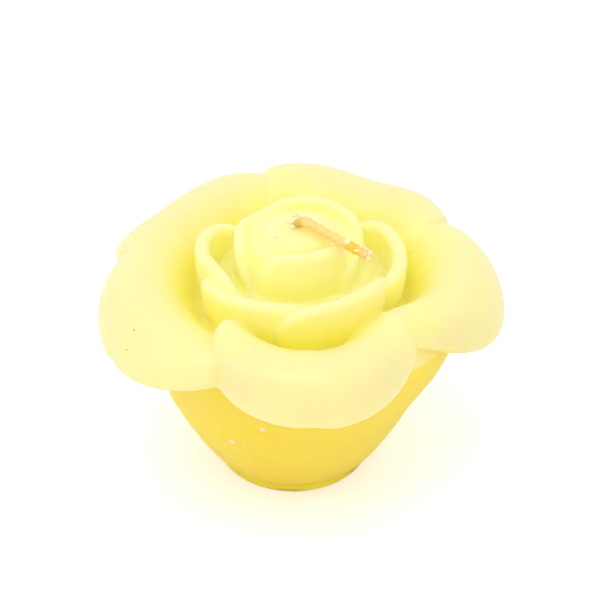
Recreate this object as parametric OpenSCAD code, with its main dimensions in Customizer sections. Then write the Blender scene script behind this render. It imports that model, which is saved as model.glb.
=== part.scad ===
// Floating candle cast as an open rose: one solid of wax with a bent wick.
// Millimetres, +Z up, origin at the centre of the flat underside.
// The photographed side looks towards -Y.

/* [Size] */
// Width across the outer petals
flower_width = 75; // [66:1:90]
// Height from the underside to the top of the bud
flower_height = 50.5; // [46:0.5:58]
// Width of the flat underside
base_width = 27.8; // [22:0.2:34]

/* [Body] */
// Width of the body where the outer petals leave it
shoulder_width = 54; // [48:1:60]
// Fullness of the taper, where 1 is a straight cone
taper_power = 0.71; // [0.5:0.01:1]
// Sideways lean of the flower over its base
flower_shift = 1.3; // [0:0.1:3]

/* [Petals] */
// Thickness of the five outer petals
outer_thickness = 3.6; // [2.8:0.1:4.4]
// Thickness of the middle ring
middle_thickness = 2.8; // [2.2:0.1:3.4]
// Thickness of the petals about the bud
inner_thickness = 2.4; // [2:0.1:2.8]
// Width of the bud
bud_width = 15; // [14:0.5:16]

/* [Wick] */
// Diameter of the wick
wick_diameter = 2; // [1.6:0.1:2.6]
// Length of the bent free end
wick_reach = 13; // [8:0.5:16]
// Direction in which the free end lies, in degrees
wick_heading = -36; // [-60:1:0]
// Wax left under the foot of the wick
wick_cover = 4; // [2:0.5:10]

/* [Part] */
// Node to draw

/* [Hidden] */
wax_colour = [0.98, 0.9, 0.55];
wick_colour = [0.9, 0.66, 0.3];

// One percent of the flower's width and of its height. Radii and shifts across are
// given in the first, heights above the underside in the second.
across = flower_width / 100;
upward = flower_height / 100;

// Profiles of the petals as control points of radius and height, foot first.
outer_profile = [[14.7, 47.5], [24, 39.6], [26.7, 79.2], [34.7, 91.1], [48, 87.1], [49.3, 65.3]];
middle_profile = [[14.7, 47.5], [22.7, 55.4], [26.7, 79.2], [26.7, 89.1]];
inner_profile = [[8, 59.4], [13.3, 67.3], [16, 83.2], [14.7, 95]];

// Share of a petal's height at which its foot stops spreading under its neighbours.
lip_start = 0.8;
foot_overlap = 1.35;
// Least half thickness at a petal's two ends, as a share of the full one.
end_land = 0.04;
outer_columns = 18;
outer_rows = 11;
ring_columns = 12;
ring_rows = 7;

shoulder_height = 49.5 * upward;
body_top = 61.4 * upward;
body_steps = 11;
body_sides = 40;
bud_radius = bud_width / 2;
bud_foot = 60 * upward;
disc = base_width / 1000;
heart_back = 1.9 * across;

wick_sides = 12;
wick_bend = 1.1 * wick_diameter;
wick_rise = 0.65 * wick_diameter;
wick_droop = 9;
wick_turn = 90 + wick_droop;
wick_at = [0.9 * across, -0.4 * across];
wick_along = [cos(wick_heading), sin(wick_heading), 0];
wick_aside = [-sin(wick_heading), cos(wick_heading), 0];

// A point at parameter t on the Bezier curve with control points p.
function bezier(p, t) =
    len(p) == 1 ? p[0] : bezier([for (i = [0 : len(p) - 2]) p[i] * (1 - t) + p[i + 1] * t], t);

// Quarter circle from 0 at the rim to 1 one half thickness inwards.
function quarter(x) = let (c = min(1, max(0, x))) sqrt(1 - (1 - c) * (1 - c));

// Radius of the body at height z.
function body_radius(z) =
    base_width / 2
    + (shoulder_width - base_width) / 2 * pow(max(z, 0) / shoulder_height, taper_power);

// Sideways place of the body's axis at height z.
function body_shift(z) = flower_shift * min(1, z / shoulder_height);

// One cast petal: a shell of rounded edge about a curved middle surface.
// u runs -1 to 1 along the petal and v runs 0 to 1 from its foot to its rim. The two
// values of trim are the shares of the profile left out at those two ends.
module petal(profile, facing, half_angle, thickness, columns, rows,
             trim = [0.2, 0.2], trim_power = 4, foot_spread = 1, lean = 0, fall = 4, fall_power = 4,
             nick = 0, nick_at = 0, nick_width = 0.3, outward = 0, raise = 0,
             skew = 0, sag = 0, dip = 0, dip_ends = 0) {
    function reach(u, v) = v * (1 - trim[u < 0 ? 0 : 1] * pow(abs(u), trim_power));
    function rim_shift(u) =
        outward + lean * u - fall * pow(abs(u), fall_power)
        - nick * exp(-pow((u - nick_at) / nick_width, 2));
    function rim_lift(u) = raise + skew * u - sag * u * u;
    function middle(u, v) =
        let (t = reach(u, v),
             p = bezier(profile, t),
             bulge = (dip + dip_ends * u * u) * pow(sin(180 * min(1, v)), 2),
             r = p[0] + t * rim_shift(u),
             z = p[1] + t * rim_lift(u) + bulge,
             spread = 1 + (foot_spread - 1) * (1 - min(1, t / lip_start)),
             a = facing + half_angle * u * spread)
        [across * r * cos(a) + flower_shift, across * r * sin(a), upward * z];
    function facing_out(u, v) =
        let (d = 0.001,
             n = cross(middle(u + d, v) - middle(u - d, v), middle(u, v + d) - middle(u, v - d)))
        n / norm(n);
    function half_thickness(u, v) =
        let (h = thickness / 2,
             m = middle(u, v),
             to_side = (1 - abs(u)) * half_angle * PI / 180 * norm([m[0], m[1]]),
             to_rim = norm(middle(u, 1) - m))
        h * max(end_land, quarter(to_side / h / 1.3)) * quarter(to_rim / h);
    ring = 2 * rows + 1;
    points = [
        for (i = [0 : columns])
            let (u = sin(-90 + 180 * i / columns))
            for (k = [0 : 2 * rows])
                let (j = k <= rows ? k : 2 * rows - k,
                     v = sin(90 * j / rows),
                     side = k <= rows ? 1 : -1)
                middle(u, v) + side * half_thickness(u, v) * facing_out(u, v)
    ];
    walls = [
        for (i = [0 : columns - 1])
            for (k = [0 : ring - 1])
                let (a = i * ring + k,
                     b = i * ring + (k + 1) % ring,
                     c = b + ring,
                     d = a + ring)
                for (f = [[a, b, c], [a, c, d]]) f
    ];
    ends = [
        for (e = [0, columns])
            for (k = [0 : rows - 1])
                let (a = e * ring + k,
                     b = a + 1,
                     c = e * ring + 2 * rows - k - 1,
                     d = c + 1)
                for (f = k < rows - 1 ? [[a, c, b], [a, d, c]] : [[a, d, b]])
                    e == 0 ? f : [f[0], f[2], f[1]]
    ];
    polyhedron(points = points, faces = concat(walls, ends), convexity = 6);
}

module outer_petal(facing, half_angle, trim = [0.2, 0.2], trim_power = 4, lean = 0,
                   fall = 4, fall_power = 4, nick = 0, nick_at = 0, nick_width = 0.3,
                   outward = 0, raise = 0, skew = 0, sag = 0, dip = 0, dip_ends = 0)
    petal(outer_profile, facing, half_angle, outer_thickness, outer_columns, outer_rows,
          trim = trim, trim_power = trim_power, foot_spread = foot_overlap, lean = lean,
          fall = fall, fall_power = fall_power,
          nick = nick, nick_at = nick_at, nick_width = nick_width,
          outward = outward, raise = raise, skew = skew, sag = sag,
          dip = dip, dip_ends = dip_ends);

module middle_petal(facing, half_angle, trim = [0.2, 0.2], fall = 0, outward = 0, raise = 0,
                    lean = 0, skew = 0, sag = 0)
    petal(middle_profile, facing, half_angle, middle_thickness, ring_columns, ring_rows,
          trim = trim, lean = lean, fall = fall, fall_power = 6,
          outward = outward, raise = raise, skew = skew, sag = sag);

module inner_petal(facing, half_angle, trim = [0.2, 0.2], outward = 0, raise = 0,
                   lean = 0, skew = 0, sag = 0)
    petal(inner_profile, facing, half_angle, inner_thickness, ring_columns, ring_rows,
          trim = trim, lean = lean, fall = 0, outward = outward, raise = raise,
          skew = skew, sag = sag);

// The five broad petals, each rolled over at its lip. The front one laps over both of its
// neighbours, and each of the others meets the next in a notch.
module outer_petals() {
    outer_petal(275, 38, trim = [0.1, 0.1], fall = 11.3, fall_power = 1.4, nick = 1.1,
                nick_at = -0.03, nick_width = 0.1, raise = 0.8, sag = -1,
                dip = -2.4, dip_ends = 3.6);
    outer_petal(-17, 43, trim = [0.26, 0.16], trim_power = 2, lean = -1, fall = 3,
                outward = -1.1, skew = 0.4, nick = 9.5, nick_at = -0.6, nick_width = 0.37);
    outer_petal(65, 38, lean = 2.4, fall = 5.3, nick = 4.3, nick_width = 0.35,
                raise = 2, skew = 1.2, dip = 1);
    outer_petal(135, 38, nick = 5.3, nick_at = 0.2, nick_width = 0.5,
                outward = 0.7, raise = 2, sag = 3.2, dip = 1);
    outer_petal(202, 43, trim = [0.16, 0.16], trim_power = 2, lean = 2.7, fall = 5.1, fall_power = 3,
                outward = -1.1, skew = -1.8);
}

// The upright ring, with the front petals lapping in front of the side ones.
module middle_petals() {
    middle_petal(6, 37, trim = [0.2, 0.06], fall = 6, outward = -3.2, raise = 1.2, lean = -1);
    middle_petal(188, 46, trim = [0.06, 0.2], fall = 6.7, outward = -2.8,
                 raise = 2.2, skew = -1.5);
    middle_petal(240, 37, trim = [0.06, 0.1], lean = -1.3, outward = -2.8,
                 raise = 1, skew = -1, sag = -1);
    middle_petal(-70, 33, trim = [0.24, 0.05], lean = -1, outward = -1.6,
                 raise = 2.4, skew = 2, sag = -1);
    middle_petal(91, 48, fall = 1.3, outward = -4, sag = 6, raise = -0.6);
}

// The petals folded about the bud.
module inner_petals() {
    inner_petal(276, 52, trim = [0.26, 0.06], lean = -1, outward = -3, raise = 4, skew = 0.5);
    inner_petal(170, 50, outward = -0.7, raise = 2);
    inner_petal(-9.7, 42, trim = [0.02, 0.2], outward = -2, raise = -3);
    inner_petal(69, 70, outward = -1.3, raise = 4);
    inner_petal(246, 50, trim = [0.1, 0.1], outward = -8, raise = 3);
}

// The tapered body, as a stack of short cones from the underside to the lips.
module body()
    for (i = [0 : body_steps - 1]) {
        low = body_top * pow(i / body_steps, 1.6);
        high = body_top * pow((i + 1) / body_steps, 1.6);
        hull() {
            translate([body_shift(low), 0, low])
                cylinder(r = body_radius(low), h = disc, $fn = body_sides);
            translate([body_shift(high), 0, high])
                cylinder(r = body_radius(high), h = disc, $fn = body_sides);
        }
    }

// Wax turned about the flower's axis: rows of radius and height, both in percent.
module turned(rows)
    translate([flower_shift, 0, 0])
        rotate_extrude($fn = body_sides)
            polygon([for (row = rows) [row[0] * across, row[1] * upward]]);

// Wax behind the rolled lips, from the body up to the valley about the middle ring.
module collar()
    turned([
        [20, 47.5], [34, 47.5], [37, 58.4], [39.3, 61.5], [39.7, 68.3],
        [36.2, 80], [31.5, 78.6], [28, 73], [24.2, 62]
    ]);

// Wax under the middle ring and the inner petals, rising towards the bud. It stands a
// little behind the flower's axis, which leaves the hollow in front the deepest.
module heart()
    translate([0, heart_back, 0])
        turned([
            [0, 55.4], [20.8, 55.4], [23.5, 69], [22, 76.5], [18.4, 79], [15.6, 81.5],
            [13.6, 88], [12.3, 92.5], [0, 93.5]
        ]);

module bud()
    translate([flower_shift, 0, 0])
        rotate_extrude($fn = body_sides)
            polygon([
                [0, bud_foot], [bud_radius, bud_foot], [bud_radius, 91 * upward],
                [bud_radius * 0.95, 95 * upward], [bud_radius * 0.8, 97.9 * upward],
                [bud_radius * 0.45, 99.3 * upward], [0, flower_height]
            ]);

// Stations of the wick's centre line as place and direction, foot first: straight up
// through the wax, round a bend, and out along its heading with a slight droop.
wick_top = flower_height + wick_rise - wick_bend;
wick_turning = [wick_at[0], wick_at[1], wick_top];
wick_stations = concat(
    [[[wick_at[0], wick_at[1], wick_cover], 0], [wick_turning, 0]],
    [for (i = [1 : 6])
        let (a = wick_turn * i / 6)
        [wick_turning + wick_bend * (wick_along * (1 - cos(a)) + [0, 0, sin(a)]), a]],
    [for (i = [1 : 4])
        let (s = wick_reach * i / 4, a = wick_turn)
        [wick_turning + wick_bend * (wick_along * (1 - cos(a)) + [0, 0, sin(a)])
         + s * (wick_along * sin(a) + [0, 0, cos(a)]), a]]);

// Corner k of the wick's section at station s.
function wick_corner(s, k) =
    let (b = 360 * k / wick_sides, a = s[1])
    s[0] + wick_diameter / 2
    * (sin(b) * wick_aside + cos(b) * (wick_along * cos(a) - [0, 0, sin(a)]));

module wick_rod(stations) {
    n = len(stations);
    points = [for (s = stations) for (k = [0 : wick_sides - 1]) wick_corner(s, k)];
    walls = [
        for (i = [0 : n - 2])
            for (k = [0 : wick_sides - 1])
                let (a = i * wick_sides + k,
                     b = i * wick_sides + (k + 1) % wick_sides,
                     c = b + wick_sides,
                     d = a + wick_sides)
                for (f = [[a, c, b], [a, d, c]]) f
    ];
    foot = [for (k = [0 : wick_sides - 1]) k];
    tip = [for (k = [wick_sides - 1 : -1 : 0]) (n - 1) * wick_sides + k];
    polyhedron(points = points, faces = concat(walls, [foot, tip]), convexity = 4);
}

// The wax is poured about the standing wick, so the wick's own form is left out of it.
module rose()
    color(wax_colour)
        difference() {
            union() {
                body();
                collar();
                heart();
                outer_petals();
                middle_petals();
                inner_petals();
                bud();
            }
            wick_rod(wick_stations);
        }

module wick()
    color(wick_colour)
        wick_rod(wick_stations);

rose();
wick();
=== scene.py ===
import math

import bpy
import numpy as np
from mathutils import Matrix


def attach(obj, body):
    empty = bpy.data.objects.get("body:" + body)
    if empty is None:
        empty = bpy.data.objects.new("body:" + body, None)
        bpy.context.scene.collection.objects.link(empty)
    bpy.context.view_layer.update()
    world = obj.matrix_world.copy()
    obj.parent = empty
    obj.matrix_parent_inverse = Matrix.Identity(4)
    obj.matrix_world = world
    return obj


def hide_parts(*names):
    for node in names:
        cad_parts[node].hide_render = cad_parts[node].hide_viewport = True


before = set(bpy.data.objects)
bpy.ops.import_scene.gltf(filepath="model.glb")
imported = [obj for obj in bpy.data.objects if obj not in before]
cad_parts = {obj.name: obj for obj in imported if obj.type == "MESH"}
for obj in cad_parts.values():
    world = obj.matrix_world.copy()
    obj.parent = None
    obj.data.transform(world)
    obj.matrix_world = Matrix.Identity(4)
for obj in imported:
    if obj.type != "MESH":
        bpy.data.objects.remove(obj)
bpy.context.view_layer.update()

# Camera. The candle is seen from in front and well above, from about 30 cm, so that
# the flower's near lips look wider than its far ones. The frame is moved up by a share
# of its width, so that the candle stands a little low in it.
mm = 0.001
camera_distance = 300 * mm
camera_elevation = math.radians(36)
aim_point = np.array([1.3, 0.0, 25.0]) * mm
sensor_mm = 36
lens_mm = 96.1
frame_rise = 0.0667

camera_data = bpy.data.cameras.new("camera")
camera_data.sensor_width = sensor_mm
camera_data.lens = lens_mm
camera_data.shift_y = frame_rise
camera = bpy.data.objects.new("camera", camera_data)
camera.location = (
    aim_point[0],
    aim_point[1] - camera_distance * math.cos(camera_elevation),
    aim_point[2] + camera_distance * math.sin(camera_elevation),
)
camera.rotation_euler = (math.pi / 2 - camera_elevation, 0, 0)
bpy.context.collection.objects.link(camera)
bpy.context.scene.camera = camera


# The wax. The candle is poured in one go into a rubber mould: a tapered body carries
# five broad rolled petals, an upright ring, and petals folded about the bud. The shells
# below are fused into one skin, as the mould gives it, with soft creases between them.
across = 0.75
upward = 0.505
flower_shift = 1.3
outer_profile = [(14.7, 47.5), (24, 39.6), (26.7, 79.2), (34.7, 91.1), (48, 87.1), (49.3, 65.3)]
upright_profile = [(14.7, 47.5), (22.7, 55.4), (26.7, 79.2), (26.7, 89.1)]
folded_profile = [(8, 59.4), (13.3, 67.3), (16, 83.2), (14.7, 95)]
lip_start = 0.8
thinnest_half = 0.03
end_reach = 1.3


def ring_walls(rings, ring):
    """Quads between neighbouring rings of points: point j of a ring, the next point round
    it, and the two above them on the next ring."""
    here = np.arange(rings - 1)[:, None] * ring + np.arange(ring)
    beside = np.arange(rings - 1)[:, None] * ring + (np.arange(ring) + 1) % ring
    return np.stack([here, beside, beside + ring, here + ring], -1).reshape(-1, 4)


def closed_tube(rings, ring):
    """Quads of a tube of rings with both ends closed by a strip of quads, where point k of
    the ring faces point ring - 1 - k."""
    k = np.arange((ring - 1) // 2)
    low = np.stack([k, ring - 1 - k, ring - 2 - k, k + 1], -1)
    high = low[:, ::-1] + (rings - 1) * ring
    return np.concatenate([ring_walls(rings, ring), low, high])


def bezier(points, t):
    """Radius and height on the Bezier curve of the control points at t, by repeating
    q[i] = (1 - t) p[i] + t p[i + 1] until one point is left."""
    t = t[..., None]
    steps = [np.broadcast_to(p, t.shape[:-1] + (2,)) for p in np.asarray(points, float)]
    while len(steps) > 1:
        steps = [(1 - t) * a + t * b for a, b in zip(steps, steps[1:])]
    return steps[0]


def quarter(x):
    """Quarter circle, sqrt(1 - (1 - x)^2), from 0 at the rim to 1 a half thickness in."""
    return np.sqrt(1 - (1 - np.clip(x, 0, 1)) ** 2)


def petal_shell(
    profile, facing, half_angle, thickness, trim=(0.2, 0.2), trim_power=4, foot_spread=1,
    lean=0, fall=4, fall_power=4, nick=0, nick_at=0, nick_width=0.3, outward=0, raised=0,
    skew=0, sag=0, dip=0, dip_ends=0, wave=0, wave_count=3, columns=110, rows=56,
):
    """Closed shell of one petal in millimetres, from a profile in percent of the flower's
    width and height. The middle surface at (u, v) lies on the profile at
    t = v (1 - trim |u|^power), turned to facing + half_angle u, with its rim moved out by
    lean, fall, nick and wave and up by raised, skew, sag and wave, and its middle by dip.
    The two skins stand off it by half the thickness along its normal, rounded to the rim
    and the ends."""
    u = np.sin(np.radians(np.linspace(-90, 90, columns + 1)))
    v = np.sin(np.radians(np.linspace(0, 90, rows + 1)))
    u, v = np.meshgrid(u, v, indexing="ij")

    def middle(u, v):
        t = v * (1 - np.where(u < 0, trim[0], trim[1]) * np.abs(u) ** trim_power)
        rim_out = outward + lean * u - fall * np.abs(u) ** fall_power
        rim_out = rim_out - nick * np.exp(-(((u - nick_at) / nick_width) ** 2))
        rim_out = rim_out + wave * np.sin(math.pi * wave_count * u)
        rim_up = raised + skew * u - sag * u * u + wave * np.cos(math.pi * wave_count * u)
        bulge = (dip + dip_ends * u * u) * np.sin(math.pi * np.minimum(v, 1)) ** 2
        p = bezier(profile, t)
        r = across * (p[..., 0] + t * rim_out)
        z = upward * (p[..., 1] + t * rim_up + bulge)
        spread = 1 + (foot_spread - 1) * (1 - np.minimum(1, t / lip_start))
        a = np.radians(facing + half_angle * u * spread)
        return np.stack([r * np.cos(a) + flower_shift, r * np.sin(a), z], -1)

    step = 0.001
    along_rim = middle(u + step, v) - middle(u - step, v)
    up_petal = middle(u, v + step) - middle(u, v - step)
    normal = np.cross(along_rim, up_petal)
    normal /= np.linalg.norm(normal, axis=-1, keepdims=True)
    centre = middle(u, v)
    half = thickness / 2
    from_axis = np.hypot(centre[..., 0], centre[..., 1])
    to_side = (1 - np.abs(u)) * math.radians(half_angle) * from_axis
    to_rim = np.linalg.norm(middle(u, np.ones_like(v)) - centre, axis=-1)
    stand = np.maximum(thinnest_half, half * quarter(to_side / half / end_reach))
    stand = (stand * quarter(to_rim / half))[..., None]
    skin = centre + stand * normal
    lining = centre - stand * normal
    points = np.concatenate([skin, lining[:, -2::-1]], axis=1)
    return points.reshape(-1, 3), closed_tube(columns + 1, 2 * rows + 1)


foot_height = 1.9
foot_radius = 14.6
foot_edge = 0.2
shoulder_height = 25
shoulder_radius = 27
taper_power = 0.74
under_petals = 31
upright_height = 18
leaning_height = 8


def body_radius(z):
    """Radius of the body: a short straight foot, and from there a power of the height, up
    to the shoulder under the petals."""
    rise = np.maximum(z - foot_height, 0) / (shoulder_height - foot_height)
    return foot_radius + (shoulder_radius - foot_radius) * rise**taper_power


def body_axis(z):
    """The body stands upright and moves over to the flower's axis under the petals."""
    return flower_shift * np.clip((z - upright_height) / leaning_height, 0, 1)


def turned_shell(profile, setback=0, sides=160):
    """Closed surface of revolution in millimetres: each (r, z) of the profile is carried
    round the body's axis at that height, moved back by the setback, and the profile starts
    and ends on that axis."""
    r, z = np.asarray(profile, float).T
    a = np.linspace(0, 2 * math.pi, sides, endpoint=False)
    x = body_axis(z)[:, None] + r[:, None] * np.cos(a)
    y = r[:, None] * np.sin(a) + setback
    points = np.stack([x, y, np.broadcast_to(z[:, None], x.shape)], -1)
    return points.reshape(-1, 3), ring_walls(len(z), sides)


outer = dict(profile=outer_profile, thickness=3.6, foot_spread=1.35)
upright = dict(profile=upright_profile, thickness=2.8, fall=0, fall_power=6)
folded = dict(profile=folded_profile, thickness=2.4, fall=0)

wax_shells = [
    petal_shell(**outer | dict(facing=275, half_angle=38, trim=(0.1, 0.1), fall=11.3,
                               fall_power=1.4, nick=1.1, nick_at=-0.03, nick_width=0.1,
                               raised=0.8, sag=-1, dip=-2.4, dip_ends=3.6,
                               wave=0.2, wave_count=2.3)),
    petal_shell(**outer | dict(facing=-17, half_angle=43, trim=(0.26, 0.16), trim_power=2,
                               lean=-1, fall=3, outward=-1.1, skew=0.4,
                               nick=9.5, nick_at=-0.6, nick_width=0.37)),
    petal_shell(**outer | dict(facing=65, half_angle=38, lean=2.4, fall=5.3, nick=4.3,
                               nick_width=0.35, raised=2, skew=1.2, dip=1, wave=0.2)),
    petal_shell(**outer | dict(facing=135, half_angle=38, nick=5.3, nick_at=0.2, nick_width=0.5,
                               outward=0.7, raised=2, sag=3.2, dip=1, wave=0.2)),
    petal_shell(**outer | dict(facing=202, half_angle=43, trim=(0.16, 0.16), trim_power=2,
                               lean=2.7, fall=5.1, fall_power=3, outward=-1.1, skew=-3.8,
                               sag=3.4, nick=0.5, nick_at=0.17, nick_width=0.035)),
    petal_shell(**upright | dict(facing=6, half_angle=37, trim=(0.2, 0.06), fall=6,
                                 outward=-3.2, raised=1.2, lean=-1)),
    petal_shell(**upright | dict(facing=188, half_angle=46, trim=(0.06, 0.2), fall=6.7,
                                 outward=-3.1, raised=2.2, skew=-1.5, sag=3,
                                 nick=2.8, nick_at=0.5, nick_width=0.45)),
    petal_shell(**upright | dict(facing=241, half_angle=38, trim=(0, 0.1), fall=0.7,
                                 fall_power=2, outward=-2.3, lean=-0.5, raised=0.5, skew=1.6,
                                 sag=1)),
    petal_shell(**upright | dict(facing=-70, half_angle=33, trim=(0.24, 0.05), lean=-1,
                                 outward=-1.6, raised=2.4, skew=2, sag=-1)),
    petal_shell(**upright | dict(facing=91, half_angle=48, fall=1.3, outward=-4, sag=6,
                                 raised=-0.6)),
    petal_shell(**folded | dict(facing=276, half_angle=52, trim=(0.26, 0.06), lean=-1,
                                outward=-3, raised=4, skew=0.5)),
    petal_shell(**folded | dict(facing=170, half_angle=50, trim=(0.2, 0.4), trim_power=2.5,
                                outward=-0.7, raised=2)),
    petal_shell(**folded | dict(facing=-9.7, half_angle=42, trim=(0.02, 0.2), outward=-2.4,
                                raised=-6)),
    petal_shell(**folded | dict(facing=69, half_angle=70, outward=-1.3, raised=4)),
    petal_shell(**folded | dict(facing=246, half_angle=50, trim=(0.1, 0.1), outward=-8,
                                raised=3)),
]

taper = np.linspace(foot_edge, under_petals, 70)
body_rows = [(0, 0), (foot_radius - foot_edge, 0)] + [(body_radius(z), z) for z in taper]
body_rows += [(29.8, 34.5), (27.2, 40.4), (23.6, 39.7), (21, 37.6), (18.2, 35), (0, 35)]
heart_rows = [(0, 28), (15.6, 28), (17.6, 34.8), (16.5, 38.6), (13.8, 39.9), (11.7, 41.2)]
heart_rows += [(10.4, 44.4), (9.6, 47.2), (8.6, 48), (0, 48.2)]
bud_rows = [(0, 30), (7.5, 30), (7.5, 46), (7.1, 48), (6, 49.4), (4.8, 49.9), (3.4, 50.15)]
bud_rows += [(1.7, 50.4), (0, 50.5)]
wax_shells.append(turned_shell(body_rows))
wax_shells.append(turned_shell(heart_rows, setback=1.43))
wax_shells.append(turned_shell(bud_rows))


def joined_mesh(name, shells):
    """One mesh of all the shells, each given as points in millimetres and quads, with the
    quads counted on from the points before them, put in as whole arrays."""
    starts = np.cumsum([0] + [len(points) for points, quads in shells])
    points = np.concatenate([points for points, quads in shells]) * mm
    quads = np.concatenate([quads + start for (points, quads), start in zip(shells, starts)])
    mesh = bpy.data.meshes.new(name)
    mesh.vertices.add(len(points))
    mesh.vertices.foreach_set("co", points.astype(np.float32).ravel())
    mesh.loops.add(quads.size)
    mesh.loops.foreach_set("vertex_index", quads.astype(np.int32).ravel())
    mesh.polygons.add(len(quads))
    mesh.polygons.foreach_set("loop_start", np.arange(0, quads.size, 4))
    mesh.update(calc_edges=True)
    mesh.validate()
    return mesh


def fused_skin(name, shells, voxel, smoothing, keep):
    """One skin about all the closed shells: their common surface in voxels of the size,
    smoothed the given number of times, with the share keep of its faces left."""
    block = bpy.data.objects.new("mould", joined_mesh(name, shells))
    bpy.context.collection.objects.link(block)
    remesh = block.modifiers.new("voxels", "REMESH")
    remesh.mode = "VOXEL"
    remesh.voxel_size = voxel
    even = block.modifiers.new("even", "SMOOTH")
    even.factor = 0.5
    even.iterations = smoothing
    thin = block.modifiers.new("thin", "DECIMATE")
    thin.ratio = keep
    graph = bpy.context.evaluated_depsgraph_get()
    skin = bpy.data.meshes.new_from_object(block.evaluated_get(graph))
    bpy.data.objects.remove(block)
    skin.name = name
    skin.shade_smooth()
    return skin


def point_rows(mesh, kind):
    """The place or the normal of each point of the mesh, one row of three to a point."""
    rows = np.empty(len(mesh.vertices) * 3, np.float32)
    mesh.vertices.foreach_get(kind, rows)
    return rows.reshape(-1, 3).astype(float)


def give_mask(mesh, name, values):
    """Puts one number for each point into the mesh, for its material to read."""
    layer = mesh.attributes.new(name, "FLOAT", "POINT")
    layer.data.foreach_set("value", values.astype(np.float32))


def ramp(values, start, end):
    """0 up to the start and 1 past the end, in a straight line between them."""
    return np.clip((values - start) / (end - start), 0, 1)


wax_mesh = fused_skin("candle_wax", wax_shells, voxel=0.3 * mm, smoothing=5, keep=0.34)
wax_at = point_rows(wax_mesh, "co") / mm
faces_up = point_rows(wax_mesh, "normal")[:, 2]
height = wax_at[:, 2]
from_body = np.hypot(wax_at[:, 0] - body_axis(height), wax_at[:, 1]) - body_radius(height)
from_flower = np.hypot(wax_at[:, 0] - flower_shift, wax_at[:, 1])

# The masks say where the wax gets which colour, and most of it is painted light. On the
# body's side, and on faces turned sideways or down, the deeper tone of thick wax is
# darkened with painted shade. Down between the ring and the lips lies a painted glow of
# deep yellow. Inside the ring, but paler at its rims, a greener painted fill light
# brightens the walls that shade each other. Towards the foot, painted shade darkens the
# band where the body meets the floor. Each pair gives the height or the distance in
# millimetres where a mask starts and where it is full, and side_facing gives the same for
# the upward part of the surface's normal.
body_reach = (1.6, 0.6)
body_top = (37.5, 35)
side_facing = (0.4, 0.1)
valley_depth = (44.5, 38)
valley_outside = (31, 25)
valley_inside = (18, 21)
heart_edge = (21, 18.5)
bud_rise = (16, 14)
bud_edge = (12, 9)
foot_band = (3, 0)
foot_fade = (11, 0)
ring_rim = 46.7
bud_above_ring = 3
rim_depth = 3.5
ring_share = 0.15
bud_share = 0.5
band_share = 0.3
fade_share = 0.4

# Partly painted shade: the body's side and the faces turned sideways or down take the deeper tone
# of thick wax, darkened further as shade.
on_body = ramp(from_body, *body_reach) * ramp(height, *body_top) * ramp(faces_up, *side_facing)
# Painted glow: the crevice between the ring and the lips is coloured a deep, bright yellow, as
# light scattered through the wax and bounced between the petals would make it.
valley_glow_mask = ramp(height, *valley_depth) * ramp(from_flower, *valley_outside)
valley_glow_mask *= ramp(from_flower, *valley_inside)
# Painted fill light: inside the ring, lower down below its rims, the wax is coloured a brighter,
# greener yellow where its walls shade each other, and the bud takes more of it even at its top.
under_rim = ring_rim + bud_above_ring * ramp(from_flower, *bud_rise) - height
rim_share = ring_share + bud_share * ramp(from_flower, *bud_edge)
heart_fill_mask = ramp(from_flower, *heart_edge) * np.clip(under_rim / rim_depth, rim_share, 1)
# Painted shade: darker and deeper yellow towards the bottom, strongest in the band where the body
# meets the floor.
foot_shade_mask = band_share * ramp(height, *foot_band) + fade_share * ramp(height, *foot_fade)
give_mask(wax_mesh, "on_body", on_body)
give_mask(wax_mesh, "valley_glow_mask", valley_glow_mask)
give_mask(wax_mesh, "heart_fill_mask", heart_fill_mask)
give_mask(wax_mesh, "foot_shade_mask", foot_shade_mask)

pale_wax = (1.0, 0.745, 0.365, 1)
# Painted glow down between the ring and the lips, a deep, bright yellow.
valley_painted_glow = (1.0, 0.93, 0.15, 1)
# Painted fill light inside the ring, a brighter, greener yellow.
heart_painted_fill = (1.0, 0.93, 0.37, 1)
# The deeper tone of thick wax on the body, darkened with painted shade.
thick_body_and_shade = (1.0, 0.695, 0.055, 1)
pale_streak = (1.0, 0.73, 0.08, 1)
# Painted shade along the foot, where the body meets the floor.
foot_painted_shade = (1.0, 0.63, 0.05, 1)
fleck_colour = (0.98, 0.8, 0.62, 1)
speck_colour = (0.1, 0.07, 0.02, 1)

wax_flecks = [
    ((-5.5, -26, 24.5), 0.5), ((-11, -21.5, 18), 0.6), ((-8.5, -22.5, 18), 0.3),
    ((-13.5, -20.5, 20.5), 0.25), ((-12, -19, 15), 0.25),
]
wax_specks = [((-27, -19.5, 41), 0.13), ((-28.5, -21.5, 38.5), 0.12), ((22, 7.5, 39.5), 0.1)]
mark_glow = 0.2

# How fine the wax's patterns are, in waves per metre, and how strong.
cloud_waves = 130
cloud_depth = 0.3
layer_waves = 420
patch_waves = 90
streak_contrast = 2.2
streak_offset = -1.7
ragged_waves = 1400
dull_waves = 260
least_dull = 0.3
dull_range = 0.3
petal_sheen = 0.45
swell_waves = 110
grain_waves = 520


def new_finish(name, settings):
    """A new material with its shader's sockets set. Gives the material, its tree of nodes
    and the shader."""
    material = bpy.data.materials.new(name)
    material.use_nodes = True
    shader = material.node_tree.nodes["Principled BSDF"]
    for socket, value in settings.items():
        shader.inputs[socket].default_value = value
    return material, material.node_tree, shader


def add_node(tree, kind, properties=None, inputs=None):
    """A new node of the kind, with its properties set and its sockets filled: an output is
    linked to its socket, and any other value is written into it."""
    node = tree.nodes.new(kind)
    for name, value in (properties or {}).items():
        setattr(node, name, value)
    for name, value in (inputs or {}).items():
        if isinstance(value, bpy.types.NodeSocket):
            tree.links.new(value, node.inputs[name])
        else:
            node.inputs[name].default_value = value
    return node


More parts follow.
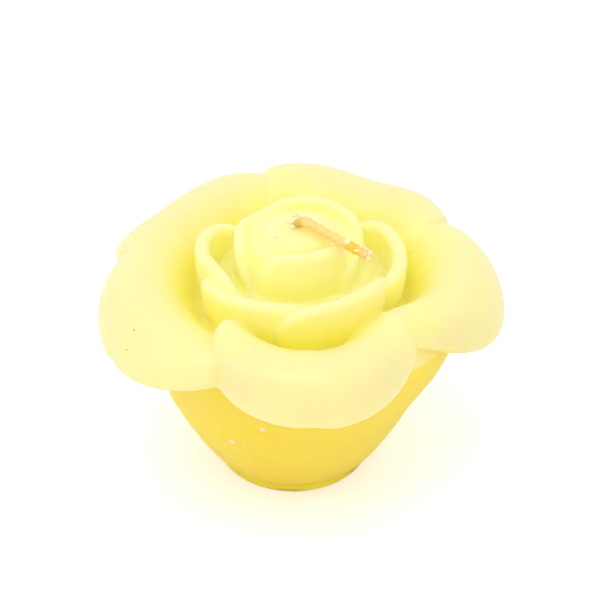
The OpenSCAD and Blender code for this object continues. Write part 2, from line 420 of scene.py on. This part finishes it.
def object_place(tree):
    """The output of the point's place on the piece, in metres."""
    return add_node(tree, "ShaderNodeTexCoord").outputs["Object"]


def math_node(tree, operation, *values):
    """The output of a Math node of the operation on the values, in their order."""
    node = add_node(tree, "ShaderNodeMath", {"operation": operation}, dict(enumerate(values)))
    return node.outputs["Value"]


def mask_read(tree, name):
    """The output of the mesh's mask of that name."""
    return add_node(tree, "ShaderNodeAttribute", {"attribute_name": name}).outputs["Fac"]


def noise(tree, place, scale, detail):
    """The output of a cloud of noise, with its scale in waves per metre."""
    inputs = {"Vector": place, "Scale": scale, "Detail": detail}
    return add_node(tree, "ShaderNodeTexNoise", None, inputs).outputs["Fac"]


def mapped(tree, value, start, end):
    """The output of a value mapped to 0 at the start and 1 at the end, and held there."""
    inputs = {"Value": value, "From Min": start, "From Max": end}
    return add_node(tree, "ShaderNodeMapRange", None, inputs).outputs["Result"]


def mixed(tree, factor, first, second):
    """The output of a mix from the first colour to the second by the factor."""
    inputs = {"Factor": factor, "A": first, "B": second}
    return add_node(tree, "ShaderNodeMix", {"data_type": "RGBA"}, inputs).outputs["Result"]


def spots(tree, place, marks, ragged):
    """1 inside any of the marks, given as place and radius in millimetres, and 0 outside.
    Each sits on the skin's nearest point, and the ragged noise shifts the distance so that
    no mark is a plain disc."""
    raggedness = 1.4
    reach = 1.7
    soft_edge = 0.1
    total = 0.0
    for centre, radius in marks:
        nearest = np.argmin(np.linalg.norm(wax_at - centre, axis=1))
        at = tuple(wax_at[nearest] * mm)
        away = add_node(tree, "ShaderNodeVectorMath", {"operation": "DISTANCE"}, {0: place, 1: at})
        shift = raggedness * radius * mm
        away = math_node(tree, "MULTIPLY_ADD", ragged, shift, away.outputs["Value"])
        edge = reach * radius * mm
        inside = mapped(tree, away, (1 + soft_edge) * edge, (1 - soft_edge) * edge)
        total = math_node(tree, "MAXIMUM", inside, total)
    return total


wax_finish, tree, wax_shader = new_finish("cast_wax", {
    "IOR": 1.43,
    "Specular IOR Level": 0.4,
    "Subsurface Weight": 1.0,
    "Subsurface Radius": (1.0, 1.0, 0.17),
    "Subsurface Scale": 13 * mm,
    "Coat Roughness": 0.22,
    "Coat IOR": 1.43,
})
place = object_place(tree)
cloud = noise(tree, place, cloud_waves, 4)
cloud = math_node(tree, "MULTIPLY_ADD", cloud, cloud_depth, -cloud_depth / 2)
# Painted fill light inside the ring.
petal_colour = mixed(tree, mask_read(tree, "heart_fill_mask"), pale_wax, heart_painted_fill)
# Painted glow down in the valley between the ring and the lips.
valley_glow_share = math_node(tree, "ADD", mask_read(tree, "valley_glow_mask"), cloud)
petal_colour = mixed(tree, valley_glow_share, petal_colour, valley_painted_glow)

# The body's side is faintly streaked in level layers, as the wax was poured.
flat_layers = {"Vector": place, "Scale": (0.1, 0.1, 1.0)}
layers = add_node(tree, "ShaderNodeMapping", None, flat_layers).outputs["Vector"]
patches = noise(tree, place, patch_waves, 3)
streaks = math_node(tree, "ADD", noise(tree, layers, layer_waves, 3), patches)
streaks = math_node(tree, "MULTIPLY_ADD", streaks, streak_contrast, streak_offset)
side_colour = mixed(tree, streaks, thick_body_and_shade, pale_streak)
# Painted shade towards the foot.
side_colour = mixed(tree, mask_read(tree, "foot_shade_mask"), side_colour, foot_painted_shade)
# The body's side: thick wax darkened with painted shade, streaked, and with painted shade towards
# the foot.
wax_colour = mixed(tree, mask_read(tree, "on_body"), petal_colour, side_colour)

# Pale flecks of dry wax lie on the body, and dark specks of dust on the petals. Little
# light passes through either.
ragged = noise(tree, place, ragged_waves, 2)
fleck = spots(tree, place, wax_flecks, ragged)
speck = spots(tree, place, wax_specks, ragged)
wax_colour = mixed(tree, fleck, wax_colour, fleck_colour)
wax_colour = mixed(tree, speck, wax_colour, speck_colour)
marks = math_node(tree, "MAXIMUM", fleck, speck)
glow = math_node(tree, "MULTIPLY_ADD", marks, mark_glow - 1, 1.0)

# The petals have a mild sheen that the body lacks. Long swells and a fine grain keep the
# cast surface from looking machined.
dullness = noise(tree, place, dull_waves, 3)
dullness = math_node(tree, "MULTIPLY_ADD", dullness, dull_range, least_dull)
sheen = math_node(tree, "MULTIPLY_ADD", mask_read(tree, "on_body"), -petal_sheen, petal_sheen)
swells = add_node(tree, "ShaderNodeBump", None, {
    "Height": noise(tree, place, swell_waves, 2), "Strength": 0.5, "Distance": 0.9 * mm,
})
grain = add_node(tree, "ShaderNodeBump", None, {
    "Height": noise(tree, place, grain_waves, 5), "Strength": 0.16, "Distance": 0.35 * mm,
    "Normal": swells.outputs["Normal"],
})
tree.links.new(wax_colour, wax_shader.inputs["Base Color"])
tree.links.new(glow, wax_shader.inputs["Subsurface Weight"])
tree.links.new(dullness, wax_shader.inputs["Roughness"])
tree.links.new(sheen, wax_shader.inputs["Coat Weight"])
tree.links.new(grain.outputs["Normal"], wax_shader.inputs["Normal"])


def put_in_scene(name, mesh, material):
    """An object at the origin that shows the mesh in its one material."""
    mesh.materials.clear()
    mesh.materials.append(material)
    piece = bpy.data.objects.new(name, mesh)
    bpy.context.collection.objects.link(piece)
    return piece


wax = put_in_scene("candle_wax", wax_mesh, wax_finish)
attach(wax, "root")
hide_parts("rose")


# Crumbs of wax. The wick's hole was closed by hand with a little wax, and small lumps of
# it stuck to the top of the bud and to the end of the wick.
crumb_places = [
    ((0.4, 3.34, 50.2), (0.5, 0.4, 0.35)), ((2.37, 1.71, 50.35), (0.45, 0.4, 0.3)),
    ((-3.12, -2.92, 49.7), (0.45, 0.35, 0.25)), ((0.3, -0.7, 50.4), (0.8, 0.7, 0.5)),
    ((1.4, -0.3, 52.0), (0.4, 0.35, 0.3)), ((2.3, -0.9, 52.4), (0.5, 0.35, 0.3)),
    ((3.1, -1.4, 52.5), (0.38, 0.3, 0.25)), ((-0.5, 0.5, 50.5), (0.5, 0.4, 0.35)),
    ((12.6, -8.3, 50.5), (0.6, 0.5, 0.4)), ((13.4, -9.1, 50.2), (0.5, 0.55, 0.5)),
    ((11.9, -8.2, 50.9), (0.4, 0.3, 0.22)), ((13.1, -9.9, 49.7), (0.4, 0.4, 0.35)),
    ((10.6, -7.0, 51.2), (0.34, 0.26, 0.2)),
]
crumb_light = (1.0, 0.8, 0.42, 1)
crumb_deep = (0.97, 0.74, 0.5, 1)
crumb_waves = 900


def crumb_shell(centre, size, turn, sides=20, rows=12):
    """Closed lump about the centre: an ellipsoid of the half sizes, with its radius
    multiplied by 1 + 0.2 sin(3 a + turn) sin(2 b) + 0.1 sin(2 a + 2 turn), where a goes
    round it and b from its lowest point to its highest."""
    pole_gap = 0.05
    a = np.linspace(0, 2 * math.pi, sides, endpoint=False)[None, :]
    b = np.linspace(pole_gap, math.pi - pole_gap, rows)[:, None]
    swell = 1 + 0.2 * np.sin(3 * a + turn) * np.sin(2 * b) + 0.1 * np.sin(2 * a + 2 * turn)
    x = centre[0] + size[0] * swell * np.sin(b) * np.cos(a)
    y = centre[1] + size[1] * swell * np.sin(b) * np.sin(a)
    z = centre[2] - size[2] * swell * np.cos(b)
    return np.stack([x, y, z], -1).reshape(-1, 3), closed_tube(rows, sides)


crumb_shells = [crumb_shell(*lump, turn=i) for i, lump in enumerate(crumb_places)]
crumb_mesh = joined_mesh("wax_crumbs", crumb_shells)
crumb_mesh.shade_smooth()

crumb_finish, tree, crumb_shader = new_finish("crumb_wax", {
    "Roughness": 0.45,
    "Subsurface Weight": 0.7,
    "Subsurface Radius": (1.0, 0.8, 0.5),
    "Subsurface Scale": 0.6 * mm,
})
crumb_cloud = noise(tree, object_place(tree), crumb_waves, 3)
crumb_colour = mixed(tree, crumb_cloud, crumb_light, crumb_deep)
tree.links.new(crumb_colour, crumb_shader.inputs["Base Color"])

crumbs = put_in_scene("wax_crumbs", crumb_mesh, crumb_finish)
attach(crumbs, "root")


# The wick. Three cotton strands plaited into a cord about 2 mm wide and soaked in wax.
# It stands in the wax, bends over the top of the bud and ends in a cut, frayed tip.
wick_foot = np.array([0.675, -0.2, 4.0])
wick_top = 49.6
wick_bend = 2.2
wick_turn = math.radians(99)
wick_heading = math.radians(-36)
wick_reach = 13.0
wick_length = wick_top - wick_foot[2] + wick_bend * wick_turn + wick_reach
strand_radius = 0.78
strand_swell = 0.06
strand_end = 0.3
plait_width = 0.19
plait_length = 4.6


def wick_line(s):
    """Centre of the wick at the length s from its foot, in millimetres, with the two
    directions across it: up a straight run, round an arc, and out along a line."""
    rise = wick_top - wick_foot[2]
    a = np.clip((s - rise) / wick_bend, 0, wick_turn)
    up = np.minimum(s, rise)
    on = np.maximum(s - rise - wick_bend * wick_turn, 0)
    ahead = wick_bend * (1 - np.cos(a)) + on * np.sin(a)
    above = wick_foot[2] + up + wick_bend * np.sin(a) + on * np.cos(a)
    right = math.cos(wick_heading)
    back = math.sin(wick_heading)
    centre = np.stack([wick_foot[0] + ahead * right, wick_foot[1] + ahead * back, above], -1)
    first = np.stack([right * np.cos(a), back * np.cos(a), -np.sin(a)], -1)
    second = np.broadcast_to([-back, right, 0.0], first.shape)
    return centre, first, second


def strand_shell(phase, sides=12, stations=420):
    """One strand of the plait: its centre weaves by (width sin f, width / 2 sin 2f) about
    the wick's line, with f = 2 pi s / length + phase. Its radius swells by a share times
    sin(5 s + phase), and narrows at the ends with the root of the distance to them."""
    end_gap = 0.05
    end_share = 0.02
    s = np.linspace(0, wick_length, stations)
    f = 2 * math.pi * s / plait_length + phase
    centre, first, second = wick_line(s)
    weave = plait_width * np.sin(f)[:, None] * second
    weave = weave + 0.5 * plait_width * np.sin(2 * f)[:, None] * first
    radius = strand_radius * (1 + strand_swell * np.sin(5 * s + phase))
    radius = radius * np.sqrt(np.clip((wick_length + end_gap - s) / strand_end, end_share, 1))
    radius = radius * np.sqrt(np.clip((s + end_gap) / strand_end, end_share, 1))
    b = np.linspace(0, 2 * math.pi, sides, endpoint=False)[None, :, None]
    section = np.cos(b) * first[:, None] + np.sin(b) * second[:, None]
    points = (centre + weave)[:, None] + radius[:, None, None] * section
    return points.reshape(-1, 3), closed_tube(stations, sides)


strands = [strand_shell(phase) for phase in (0, 2 * math.pi / 3, 4 * math.pi / 3)]
wick_mesh = fused_skin("candle_wick", strands, voxel=0.12 * mm, smoothing=3, keep=0.4)
from_foot = point_rows(wick_mesh, "co") / mm - wick_foot
ahead = from_foot[:, 0] * math.cos(wick_heading) + from_foot[:, 1] * math.sin(wick_heading)
give_mask(wick_mesh, "from_tip", ahead.max() - ahead)

# The cotton's tones from the tip to the bud, each at its share of the way: orange near
# the tip, straw along the run, and darker where it leaves the wax.
wick_tones = [
    (0.0, (0.93, 0.65, 0.33, 1)), (0.07, (0.93, 0.6, 0.16, 1)), (0.13, (0.92, 0.55, 0.02, 1)),
    (0.22, (0.91, 0.57, 0.08, 1)), (0.32, (0.94, 0.66, 0.23, 1)), (0.82, (0.91, 0.64, 0.22, 1)),
    (0.93, (0.76, 0.46, 0.11, 1)), (1.0, (0.55, 0.34, 0.1, 1)),
]
tone_start = 1.5
tone_end = 17.5
tone_drift = 3.0
tone_waves = 500
dry_wax = (1.0, 0.86, 0.62, 1)
bits_end = 6.0
bits_full = 4.0
bit_waves = 700
bit_share = 0.6
bit_edge = 0.02
fibre_waves = 2600

wick_finish, tree, wick_shader = new_finish("waxed_cotton", {
    "Roughness": 0.55,
    "Subsurface Weight": 0.8,
    "Subsurface Radius": (1.0, 0.7, 0.3),
    "Subsurface Scale": 1.0 * mm,
})
place = object_place(tree)
from_tip = mask_read(tree, "from_tip")
drift = noise(tree, place, tone_waves, 3)
drifted = math_node(tree, "MULTIPLY_ADD", drift, tone_drift, from_tip)
wick_ramp = add_node(tree, "ShaderNodeValToRGB", None, {
    "Fac": mapped(tree, drifted, tone_start, tone_end),
})
stops = wick_ramp.color_ramp.elements
stops[0].position, stops[0].color = wick_tones[0]
stops[1].position, stops[1].color = wick_tones[-1]
for position, colour in wick_tones[1:-1]:
    stops.new(position).color = colour

near_tip = mapped(tree, from_tip, bits_end, bits_full)
wax_bits = noise(tree, place, bit_waves, 2)
wax_bits = mapped(tree, wax_bits, bit_share - bit_edge, bit_share + bit_edge)
wax_bits = math_node(tree, "MULTIPLY", wax_bits, near_tip)
wick_colour = mixed(tree, wax_bits, wick_ramp.outputs["Color"], dry_wax)
fibres = add_node(tree, "ShaderNodeBump", None, {
    "Height": noise(tree, place, fibre_waves, 3), "Strength": 0.35, "Distance": 0.1 * mm,
})
tree.links.new(wick_colour, wick_shader.inputs["Base Color"])
tree.links.new(fibres.outputs["Normal"], wick_shader.inputs["Normal"])

wick = put_in_scene("candle_wick", wick_mesh, wick_finish)
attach(wick, "root")
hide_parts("wick")


# The floor. A pale table top that the candle stands on, white to the camera, which keeps
# the candle's faint shadow.
floor_half = 1500
floor_grey = (0.9, 0.9, 0.9, 1)
floor_lift = 0.32
floor_points = np.array([[-1, -1, 0], [1, -1, 0], [1, 1, 0], [-1, 1, 0]]) * floor_half
floor_mesh = joined_mesh("floor", [(floor_points, np.array([[0, 1, 2, 3]]))])

floor_finish, tree, floor_shader = new_finish("floor_white", {
    "Base Color": floor_grey,
    "Roughness": 0.9,
    "Emission Color": (1, 1, 1, 1),
})
seen = add_node(tree, "ShaderNodeLightPath").outputs["Is Camera Ray"]
lift = math_node(tree, "MULTIPLY", seen, floor_lift)
tree.links.new(lift, floor_shader.inputs["Emission Strength"])
floor = put_in_scene("floor", floor_mesh, floor_finish)


# Light. A pale room on all sides, a broad soft lamp overhead, and two small soft ones at
# the sides, which give the wax its mild sheen.
room_strength = 0.9
lamp_target = np.array([0, 0, 0.03])

world = bpy.data.worlds.new("studio")
bpy.context.scene.world = world
world.use_nodes = True
room = world.node_tree.nodes["Background"]
room.inputs["Color"].default_value = (1, 1, 1, 1)
room.inputs["Strength"].default_value = room_strength


def soft_lamp(name, lamp_place, size, watts):
    """A square soft lamp at the place, in metres, turned to face the flower: tilted by the
    angle between straight down and the way to it, and then swung round to it."""
    lamp_data = bpy.data.lights.new(name, "AREA")
    lamp_data.size = size
    lamp_data.energy = watts
    lamp = bpy.data.objects.new(name, lamp_data)
    toward = lamp_target - lamp_place
    tilt = math.acos(-toward[2] / np.linalg.norm(toward))
    lamp.location = lamp_place
    lamp.rotation_euler = (tilt, 0, math.atan2(-toward[0], toward[1]))
    bpy.context.collection.objects.link(lamp)


soft_lamp("overhead_lamp", (-0.14, -0.2, 0.9), size=0.5, watts=2.0)
soft_lamp("left_lamp", (-0.62, -0.24, 0.5), size=0.14, watts=0.45)
soft_lamp("right_lamp", (0.5, -0.08, 0.7), size=0.14, watts=0.36)

bpy.context.scene.view_settings.view_transform = "Standard"
